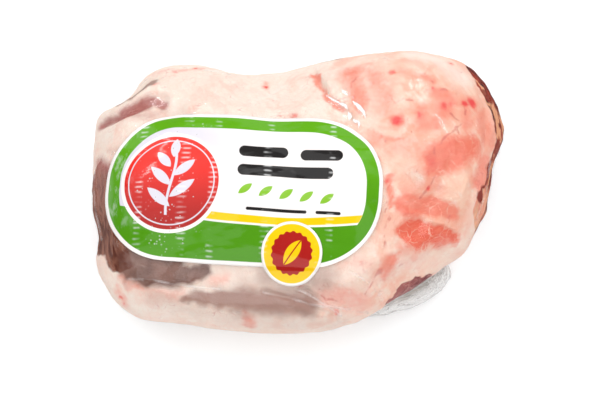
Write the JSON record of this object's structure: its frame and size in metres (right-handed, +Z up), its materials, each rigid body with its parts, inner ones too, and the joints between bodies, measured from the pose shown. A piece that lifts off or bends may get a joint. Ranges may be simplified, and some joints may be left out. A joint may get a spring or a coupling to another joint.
{
  "type": "vacuum-packed leg of lamb",
  "caption": "Half leg of lamb with a cream fat cover, sealed in tight clear shrink film, with a long rounded printed label and a round sticker on its upper side.",
  "frame": {"origin": "under the middle of the pack's bounding box, on the floor", "axes": "+X from the shank end to the rump end, +Y from the label's lower edge to its upper edge, +Z up"},
  "size_m": [0.2516, 0.1756, 0.0846],
  "materials": {
    "meat": null,
    "film": "thin clear shrink film with fine tension wrinkles and sharp glints",
    "label": "printed label under the film: white with a green border and foot, a red roundel and a yellow stripe",
    "sticker": "printed round sticker: white rim, yellow ring and deep red middle with a yellow leaf"
  },
  "bodies": {
    "root": {"sealed_leg": "meat", "label": "label", "round_sticker": "sticker"}
  },
  "joints": []
}
